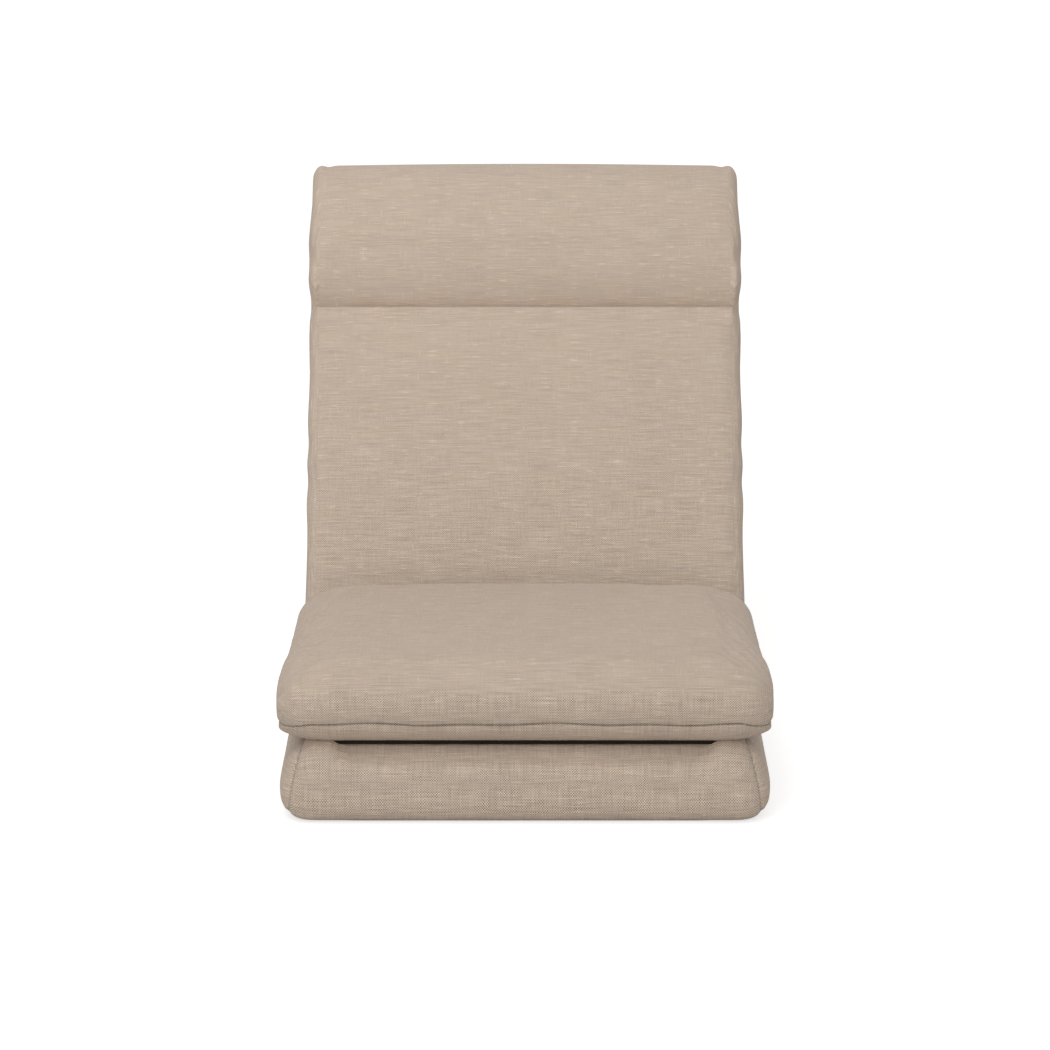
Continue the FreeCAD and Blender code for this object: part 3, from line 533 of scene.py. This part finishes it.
# Cloth that joins the pads
def hinge_sleeve():
    """The closed cloth sleeve over the hinge gap, from inside the base pad to inside the back."""
    lean = math.radians(RECLINE)
    upward = np.array((math.sin(lean), math.cos(lean)))
    facing = np.array((-math.cos(lean), math.sin(lean)))
    pivot = np.array((0.0, PAD_HALF))
    radius = PAD_HALF - 0.6
    turn = 180 - math.degrees(math.atan2(facing[1], -facing[0]))
    lap, inner_lap = 50, 52
    rear_end = pivot + upward * lap - facing * (radius - 5)
    ring = np.concatenate([
        bow((-lap, 6), (0, 0.6), 0, 14),
        arc(pivot, radius, -90, turn - 180, 30),
        bow(pivot - facing * radius, rear_end, 0, 14),
        bow(rear_end, pivot + upward * inner_lap, 0, 10),
        bow(pivot + upward * inner_lap, (-inner_lap, PAD_HALF), -5, 24),
        bow((-inner_lap, PAD_HALF), (-lap, 6), 0, 10)])
    half, rounding = GUSSET_HALF, (5, 5)
    rings = [[(x, u, v) for u, v in pivot + (ring - pivot) * (1 - inset / radius)]
             for x, inset in stations(half, *rounding, 30)]
    piece = loft("hinge_sleeve", rings, FROM_HINGE)
    remesh(piece, 4)
    points = local_points(piece, FROM_HINGE)
    x, u, v = points.T
    angle = np.arctan2(v - PAD_HALF, u)
    pleats, pleat_depth, ripple_depth, slack = 9, 0.8, 0.5, 0.6
    folds = pleat_depth * np.sin(angle * pleats) * (0.6 + 0.4 * np.sin(x / 31))
    folds += ripple_depth * np.sin(x / 17 + u / 9)
    points = push(points, 0, PAD_HALF, np.minimum(folds - slack, 0))
    points[:, 2] = np.maximum(points[:, 2], 0.2)
    set_local_points(piece, FROM_HINGE, points)
    subdivide(piece)
    points = local_points(piece, FROM_HINGE)
    edge = np.abs(points[:, 0]) - (half - 3)
    lay_weave(piece, points, ring, half, *rounding, edge, edge, np.full_like(edge, 0.3))
    shade_smooth(piece)
    piece.data.materials.append(LINEN)
    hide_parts("hinge_gusset")
    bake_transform(piece)


def grid_piece(name, points, columns, rows):
    """A sheet of cloth with squares between its rows of points."""
    faces = [(j * columns + i, j * columns + i + 1, (j + 1) * columns + i + 1,
              (j + 1) * columns + i) for j in range(rows - 1) for i in range(columns - 1)]
    return new_piece(name, [FROM_HINGE @ Vector(p) * MM for p in points], faces)


def sheet_grid(name, width, length, step, shape):
    """A sheet of cloth as a grid; shape gives (x, depth, height) for a share of each side."""
    columns, rows = round(width / step) + 1, round(length / step) + 1
    points = [shape(i / (columns - 1), j / (rows - 1)) for j in range(rows)
              for i in range(columns)]
    return grid_piece(name, points, columns, rows)


def thicken(piece, thickness):
    modifier = piece.modifiers.new("Thickness", "SOLIDIFY")
    modifier.thickness = thickness * MM
    modifier.offset = 0
    baked(piece)


def plain_weave(piece, placement=FROM_HINGE, first=0, second=1):
    """Cloth coordinates straight from two of the piece's own axes."""
    points = local_points(piece, placement)
    flat = np.stack([points[:, first], points[:, second], -np.ones(len(points))], 1)
    set_attribute(piece, "main_cloth", flat)
    set_attribute(piece, "side_cloth", flat)
    set_attribute(piece, "open_weave", np.full(len(points), 0.5 / MM))


def underside_cloth():
    """The dark cloth stapled under the base, nearly flat between its stitched edges."""
    half, front, rear = WIDTH / 2 - 48.3, -BASE_REACH + 68.3, -HINGE_INSET - 0.3
    above_floor, ripple_height = 0.9, 0.3

    def shape(i, j):
        edge = min(i, 1 - i, j, 1 - j)
        ripple = ripple_height * math.sin(i * 19 + 2 * math.sin(j * 7)) * min(1, edge * 12)
        return -half + 2 * half * i, front + (rear - front) * j, above_floor + ripple

    piece = sheet_grid("underside_cloth", 2 * half, rear - front, 8, shape)
    thicken(piece, 0.6)
    plain_weave(piece)
    shade_smooth(piece)
    piece.data.materials.append(DARK_CLOTH_AND_NOTCH_SHADE)
    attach(piece, "base")
    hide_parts("base_underside_cloth")


def flip_strip():
    """The cloth hinge deep in the notch between the front edges of base and cushion. Its dark cloth
    is painted shade that darkens the notch.
    """
    half, reach, inset = WIDTH / 2 - 42.5, 5.2, 34
    y = -BASE_REACH + inset - 0.6
    low, high = CUSHION_LOW - reach, CUSHION_LOW + reach
    heights = [low, CUSHION_LOW - 0.8, CUSHION_LOW + 0.5, high]
    piece = strip_grid("flip_strip", half, heights, y)
    thicken(piece, 0.8)
    plain_weave(piece, first=0, second=2)
    shade_smooth(piece)
    # Painted shade: the strip takes the dark cloth so that the notch reads as deep shade.
    piece.data.materials.append(DARK_CLOTH_AND_NOTCH_SHADE)
    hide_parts("flip_hinge_strip")
    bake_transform(piece)


def strip_grid(name, half, heights, y):
    """An upright strip of cloth with a row of points at each height, rippled along its run."""
    columns, ripple = 120, 0.3
    points = [(-half + 2 * half * i / (columns - 1), y + ripple * math.sin(i / 2), height)
              for height in heights for i in range(columns)]
    return grid_piece(name, points, columns, len(heights))


def hinge_block():
    """The firm block inside the sleeve that the rear of the chair stands on."""
    low, high = (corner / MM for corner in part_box("hinge_floor_pad"))
    high.y, low.z = high.y - 1.5, low.z + 0.4
    low_cut, high_cut, slope_run, slope_foot = 5, 2, 8, 3
    ring = [(low.y, low.z), (high.y - low_cut, low.z), (high.y, low.z + low_cut),
            (high.y, high.z - high_cut), (high.y - high_cut, high.z),
            (low.y + slope_run, high.z), (low.y, low.z + slope_foot)]
    rings = [[(x, u, v) for u, v in ring] for x in np.linspace(low.x, high.x, 20)]
    piece = loft("hinge_block", rings, Matrix.Identity(4))
    rounding = piece.modifiers.new("Bevel", "BEVEL")
    rounding.width = 1.2 * MM
    rounding.segments = 3
    baked(piece)
    plain_weave(piece)
    shade_smooth(piece)
    piece.data.materials.append(DARK_CLOTH_AND_NOTCH_SHADE)
    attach(piece, "base")
    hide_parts("hinge_floor_pad")


# Zips
def zip_fastener(name, node, body, placement, tape_half):
    """A zip on a pad: two woven tapes with a rolled edge and a coil of teeth between them. Its
    own frame has X along the zip and Z out of the cloth."""
    half = ZIP_HALF - 0.4
    zip_tape(name + "_cloth", node, body, placement, half, tape_half)
    zip_coil(name + "_coil", body, placement, half)


def zip_tape(name, node, body, placement, half, tape_half):
    sunk, face, rolled, inner = -1.2, 0.1, 0.5, 0.3
    gap, rib, beside = 2.6, 3.2, 1.2
    profile = [(-tape_half, sunk), (-tape_half, face), (-tape_half + beside, rolled),
               (-rib, inner), (-gap, -face), (gap, -face), (rib, inner),
               (tape_half - beside, rolled), (tape_half, face), (tape_half, sunk)]
    columns = np.linspace(-half, half, 90)
    points = [placement @ Vector((x, y, z + 0.12 * math.sin(x / 9 + y))) * MM
              for x in columns for y, z in profile]
    count = len(profile)
    last = (len(columns) - 1) * count
    faces = [(i * count + j, i * count + (j + 1) % count, (i + 1) * count + (j + 1) % count,
              (i + 1) * count + j) for i in range(len(columns) - 1) for j in range(count)]
    faces += [tuple(range(count))[::-1], tuple(last + j for j in range(count))]
    tape = new_piece(name, points, faces)
    plain_weave(tape, placement)
    tape.data.materials.append(TAPE)
    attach(tape, body)
    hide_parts(node)


def zip_coil(name, body, placement, half):
    """The teeth: arched bars across the zip, one behind another, clear of both tape ends."""
    pitch, tooth, end_margin, left_out = 1.6, 1.15, 6, 8
    arch = ((-2.4, -0.1), (-2.0, 0.75), (-0.4, 1.0), (0.4, 1.0), (2.0, 0.75), (2.4, -0.1))
    corners = len(arch)
    points, faces = [], []
    for index in range(int(2 * half / pitch) - left_out):
        x = -half + end_margin + index * pitch
        start = len(points)
        for step in (-tooth / 2, tooth / 2):
            for y, z in arch:
                points.append(placement @ Vector((x + step * (1 - abs(y) / 9), y, z)) * MM)
        near = tuple(start + j for j in range(corners))
        far = tuple(start + corners + j for j in range(corners))
        faces += [(near[j], near[j + 1], far[j + 1], far[j]) for j in range(corners - 1)]
        faces += [near[::-1], far]
    teeth = new_piece(name, points, faces)
    teeth.data.materials.append(COIL)
    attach(teeth, body)


# Materials
def linear(red, green, blue):
    """A colour written as 0 to 255 screen values, in the shader's linear terms."""
    parts = [(c / 255 / 12.92) if c <= 10 else ((c / 255 + 0.055) / 1.055) ** 2.4
             for c in (red, green, blue)]
    return (*parts, 1.0)


class Shader:
    """Short calls for building a material's nodes."""

    def __init__(self, name):
        self.material = bpy.data.materials.new(name)
        self.material.use_nodes = True
        self.tree = self.material.node_tree
        self.surface = self.tree.nodes["Principled BSDF"]

    def node(self, kind, inputs=(), **settings):
        node = self.tree.nodes.new(kind)
        for key, value in settings.items():
            setattr(node, key, value)
        for key, value in dict(inputs).items():
            self.put(node.inputs[key], value)
        return node

    def put(self, socket, value):
        if isinstance(value, bpy.types.NodeSocket):
            self.tree.links.new(value, socket)
        else:
            socket.default_value = value

    def set(self, **values):
        """Values for the surface's sockets, named with underscores for spaces."""
        for name, value in values.items():
            self.put(self.surface.inputs[name.replace("_", " ")], value)

    def maths(self, operation, first, second=0.0, third=0.0):
        return self.node("ShaderNodeMath", {0: first, 1: second, 2: third},
                         operation=operation).outputs[0]

    def attribute(self, name):
        return self.node("ShaderNodeAttribute", attribute_name=name).outputs

    def scaled(self, vector, x, y, z):
        return self.node("ShaderNodeVectorMath", {0: vector, 1: (x, y, z)},
                         operation="MULTIPLY").outputs[0]

    def noise(self, vector, detail=2.0, roughness=0.5):
        return self.node("ShaderNodeTexNoise",
                         {"Vector": vector, "Scale": 1.0, "Detail": detail,
                          "Roughness": roughness}).outputs[0]

    def span(self, value, low, high, to_low=0.0, to_high=1.0):
        return self.node("ShaderNodeMapRange",
                         {"Value": value, "From Min": low, "From Max": high,
                          "To Min": to_low, "To Max": to_high}).outputs[0]

    def mix(self, share, first, second, kind="MIX"):
        node = self.node("ShaderNodeMix", data_type="RGBA", blend_type=kind)
        for index, value in ((0, share), (6, first), (7, second)):
            self.put(node.inputs[index], value)
        return node.outputs[2]

    def mix_vector(self, share, first, second):
        node = self.node("ShaderNodeMix", data_type="VECTOR")
        for index, value in ((0, share), (4, first), (5, second)):
            self.put(node.inputs[index], value)
        return node.outputs[1]

    def shaded(self, colour, value):
        """The colour made darker or lighter by the value."""
        grey = self.node("ShaderNodeCombineXYZ", {0: value, 1: value, 2: value}).outputs[0]
        return self.mix(1.0, colour, grey, "MULTIPLY")

    def bump(self, height, distance, strength):
        return self.node("ShaderNodeBump", {"Height": height, "Distance": distance,
                                            "Strength": strength}).outputs[0]


def woven(name, tone, pitch=1.5, contrast=1.0, painted_seam_shade=0.0, lustre=1.0):
    """Plain-weave linen: crossing threads, longer slubs in both ways, drifting tone and sheen.
    The pitch of the threads is in millimetres."""
    s = Shader(name)
    per_metre = math.pi / (pitch * MM)
    main, side = s.attribute("main_cloth")["Vector"], s.attribute("side_cloth")["Vector"]
    edge = s.node("ShaderNodeSeparateXYZ", {0: main}).outputs[2]
    cloth = s.mix_vector(s.maths("GREATER_THAN", edge, 0.0), main, side)
    warp, weft = s.node("ShaderNodeSeparateXYZ", {0: cloth}).outputs[:2]
    flat = s.node("ShaderNodeCombineXYZ", {0: warp, 1: weft}).outputs[0]
    # Threads: each runs a little off line and differs from its neighbours. The scales are in
    # patches per metre along the warp and the weft.
    drift = s.noise(s.scaled(flat, 60, 60, 0))
    over = s.maths("SINE", s.maths("MULTIPLY_ADD", warp, per_metre, drift))
    under = s.maths("SINE", s.maths("MULTIPLY_ADD", weft, per_metre, drift))
    weave = s.maths("MULTIPLY", over, under)
    weft_tone = s.noise(s.scaled(flat, 22, 650, 0), 1.0)
    warp_tone = s.noise(s.scaled(flat, 620, 30, 0), 1.0)
    weft_slub = s.span(s.noise(s.scaled(flat, 55, 480, 0), 0.0), 0.62, 0.74)
    warp_slub = s.span(s.noise(s.scaled(flat, 430, 70, 0), 0.0), 0.68, 0.8)
    cloud = s.noise(s.scaled(flat, 9, 14, 0), 3.0)
    patchy = s.span(s.noise(s.scaled(flat, 120, 120, 0), 1.0), 0.35, 0.6, 0.35, 1.3)
    weave = s.maths("MULTIPLY", weave, patchy)
    opened = s.attribute("open_weave")["Fac"]
    value = s.maths("MULTIPLY_ADD", weave, s.maths("MULTIPLY", opened, 0.55 * contrast), 1.0)
    weft_share = s.maths("MULTIPLY_ADD", s.maths("MINIMUM", opened, 0.4), 0.16 * contrast,
                         0.1 * contrast)
    value = s.maths("MULTIPLY_ADD", s.span(weft_tone, 0.25, 0.75, -1, 1), weft_share, value)
    warp_share = s.maths("MULTIPLY_ADD", opened, 0.1 * contrast, 0.02 * contrast)
    value = s.maths("MULTIPLY_ADD", s.span(warp_tone, 0.25, 0.75, -1, 1), warp_share, value)
    value = s.maths("MULTIPLY_ADD", weft_slub, 0.16 * contrast, value)
    value = s.maths("MULTIPLY_ADD", warp_slub, 0.12 * contrast, value)
    value = s.maths("MULTIPLY_ADD", s.span(cloud, 0.3, 0.7, -1, 1), 0.02, value)
    height = s.maths("MULTIPLY_ADD", weave, 0.5, s.maths("ADD", weft_slub, warp_slub))
    # Painted shade: the colour is darkened along the seam line, standing in for the shade in the
    # seam's groove, and the bump sinks the same line.
    if painted_seam_shade:
        gap = s.maths("ABSOLUTE", s.attribute("seam")["Fac"])
        line = s.span(gap, 0.0004, 0.0012, 1.0, 0.0)
        value = s.maths("MULTIPLY_ADD", line, -painted_seam_shade, value)
        height = s.maths("MULTIPLY_ADD", line, -3.0, height)
    warm = tuple(c * k for c, k in zip(tone, (1.01, 1.0, 0.985))) + (1.0,)
    cool = tuple(c * k for c, k in zip(tone, (0.993, 1.0, 1.012))) + (1.0,)
    colour = s.mix(s.span(s.noise(s.scaled(flat, 14, 90, 0), 2.0), 0.35, 0.65), warm, cool)
    s.set(Base_Color=s.shaded(colour, value), Roughness=0.92,
          Sheen_Weight=0.09 * lustre, Sheen_Roughness=0.5, Specular_IOR_Level=0.2 * lustre,
          Normal=s.bump(height, 0.00035, 0.8))
    return s.material


LINEN_TONE = linear(189, 172, 156)[:3]
# The three linens are one cloth. They differ only in how much painted shade darkens their seam lines.
LINEN = woven("linen", LINEN_TONE, painted_seam_shade=0.14)
LINEN_SEAT = woven("linen_seat", LINEN_TONE, painted_seam_shade=0.5)
LINEN_BACK = woven("linen_back", LINEN_TONE)
# The dark cloth is the real dark cloth under the base and on the hinge block, and painted shade on
# the flip strip in the notch. Its low lustre keeps that painted shade dark.
DARK_CLOTH_AND_NOTCH_SHADE = woven("dark_cloth_and_notch_shade", linear(40, 34, 29)[:3], pitch=1.8, contrast=0.7, lustre=0.1)
TAPE = woven("zip_tape", linear(150, 133, 117)[:3], pitch=0.9, contrast=0.6)


def metal(name, tone, roughness, streak):
    """Rolled or drawn metal: fine streaks, faint stains and a slightly uneven gloss."""
    s = Shader(name)
    place = s.node("ShaderNodeTexCoord").outputs["Object"]
    streaks = s.noise(s.scaled(place, *streak), 3.0)
    stains = s.noise(s.scaled(place, 45, 45, 45), 4.0, 0.6)
    value = s.maths("MULTIPLY_ADD", s.span(streaks, 0.3, 0.7, -1, 1), 0.06, 1.0)
    value = s.maths("MULTIPLY_ADD", s.span(stains, 0.3, 0.75, 0, 1), -0.12, value)
    s.set(Base_Color=s.shaded(tone, value), Metallic=1.0,
          Roughness=s.span(stains, 0.2, 0.8, roughness - 0.06, roughness + 0.1),
          Normal=s.bump(streaks, 0.00008, 0.5))
    return s.material


def powder_coat(name, tone):
    """Dark powder coat with its fine orange-peel skin."""
    s = Shader(name)
    place = s.node("ShaderNodeTexCoord").outputs["Object"]
    peel = s.noise(s.scaled(place, 700, 700, 700), 2.0)
    dust = s.noise(s.scaled(place, 30, 30, 30), 4.0)
    value = s.span(dust, 0.3, 0.7, 0.92, 1.1)
    s.set(Base_Color=s.shaded(tone, value), Roughness=0.48,
          Normal=s.bump(peel, 0.0001, 0.4))
    return s.material


ZINC = metal("zinc_plate", linear(176, 176, 172), 0.36, (30, 300, 300))
STEEL = metal("rivet_steel", linear(160, 160, 158), 0.3, (300, 300, 300))
COIL = metal("zip_metal", linear(150, 138, 118), 0.4, (400, 400, 400))
PAINT = powder_coat("powder_coat", linear(44, 44, 46))
BY_SLOT = {"painted_tube": PAINT, "hinge_steel": ZINC, "rivet_steel": STEEL, "zip_metal": COIL}


def dress_hardware():
    """The frame's own hard nodes keep their shape and take a finish."""
    slots = {part["node"]: part["material_slot"] for part in frame["record"]["subparts"]}
    for name, node in frame["nodes"].items():
        finish = BY_SLOT.get(slots.get(name))
        if finish:
            node.data.materials.clear()
            node.data.materials.append(finish)


# Floor, light and camera: places and sizes in metres, the pitch in degrees below level
FLOOR_HALF = 40
FLOOR_GLOW = 0.62
AMBIENT = 0.49
KEY = 11.7
KEY_SIZE = 1.3
KEY_PLACE = Vector((-0.45, -0.75, 1.95))
KEY_AIM = Vector((0, 0.1, 0.3))
FRONT = 1.06
REAR = 0.45
SUN_SPREAD = math.radians(60)
CAMERA_PLACE = (0, -4.365, 1.301)
CAMERA_PITCH = 13.5
FOCAL_PIXELS = 3600
PICTURE_PIXELS = 1050
SENSOR_MILLIMETRES = 36


def plain_white_floor():
    """A pale floor that the camera sees as white and that keeps the chair's soft shadow."""
    s = Shader("floor")
    ways = s.node("ShaderNodeLightPath").outputs
    seen = s.maths("MAXIMUM", ways["Is Camera Ray"],
                   s.maths("MAXIMUM", ways["Is Glossy Ray"], ways["Is Transmission Ray"]))
    s.set(Base_Color=linear(214, 214, 213), Roughness=0.9, Specular_IOR_Level=0.0,
          Emission_Color=(1, 1, 1, 1),
          Emission_Strength=s.maths("MULTIPLY", seen, FLOOR_GLOW))
    corners = [(-FLOOR_HALF, -FLOOR_HALF, 0), (FLOOR_HALF, -FLOOR_HALF, 0),
               (FLOOR_HALF, FLOOR_HALF, 0), (-FLOOR_HALF, FLOOR_HALF, 0)]
    floor = new_piece("floor", corners, [(0, 1, 2, 3)])
    floor.data.materials.append(s.material)


def soft_light():
    """An even pale surround that the camera sees as white, a large lamp above the left front,
    and a wide soft sun from the front and from the rear."""
    world = bpy.data.worlds.new("studio")
    world.use_nodes = True
    bpy.context.scene.world = world
    tree = world.node_tree
    back = tree.nodes["Background"]
    back.inputs["Color"].default_value = (1, 1, 1, 1)
    ways = tree.nodes.new("ShaderNodeLightPath").outputs
    strength = tree.nodes.new("ShaderNodeMapRange")
    strength.inputs["To Min"].default_value = AMBIENT
    strength.inputs["To Max"].default_value = 1.0
    seen = tree.nodes.new("ShaderNodeMath")
    seen.operation = "MAXIMUM"
    tree.links.new(ways["Is Camera Ray"], seen.inputs[0])
    tree.links.new(ways["Is Glossy Ray"], seen.inputs[1])
    tree.links.new(seen.outputs[0], strength.inputs["Value"])
    tree.links.new(strength.outputs[0], back.inputs["Strength"])
    lamp = bpy.data.lights.new("key", "AREA")
    lamp.energy = KEY
    lamp.size = KEY_SIZE
    hang(lamp, KEY_PLACE, KEY_PLACE - KEY_AIM)
    sun("rear", REAR, (0, 3, 1), Vector((0.3, 1.0, 0.45)))
    sun("front", FRONT, (0, -3, 1), Vector((-0.2, -1.0, 0.35)))


def sun(name, strength, place, towards_light):
    lamp = bpy.data.lights.new(name, "SUN")
    lamp.energy = strength
    lamp.angle = SUN_SPREAD
    hang(lamp, place, towards_light)


def hang(lamp, place, towards_light):
    """Puts a lamp in place so that it shines against the way that points towards it."""
    thing = bpy.data.objects.new(lamp.name, lamp)
    thing.location = place
    thing.rotation_euler = towards_light.to_track_quat("Z", "Y").to_euler()
    bpy.context.scene.collection.objects.link(thing)


def camera():
    lens = bpy.data.cameras.new("camera")
    lens.sensor_width = SENSOR_MILLIMETRES
    lens.lens = SENSOR_MILLIMETRES * FOCAL_PIXELS / PICTURE_PIXELS
    lens.clip_end = 100
    thing = bpy.data.objects.new("camera", lens)
    thing.location = CAMERA_PLACE
    thing.rotation_euler = (math.radians(90 - CAMERA_PITCH), 0, 0)
    bpy.context.scene.collection.objects.link(thing)
    bpy.context.scene.camera = thing


base_pad()
back_pad()
seat_pad()
hinge_sleeve()
hinge_block()
underside_cloth()
flip_strip()
zip_fastener("back_zip", "back_zip_tape", "back",
             ON_THE_BACK @ Matrix.Translation((0, ZIP_BACK, -PAD_HALF))
             @ Matrix.Rotation(math.pi, 4, "X"), BACK_TAPE_HALF)
zip_fastener("cushion_zip", "cushion_zip_tape", "cushion",
             FROM_HINGE @ Matrix.Translation((0, CUSHION_REAR, ZIP_CUSHION))
             @ Matrix.Rotation(-math.pi / 2, 4, "X"), CUSHION_TAPE_HALF)
dress_hardware()
plain_white_floor()
soft_light()
camera()
bpy.context.scene.view_settings.view_transform = "Standard"
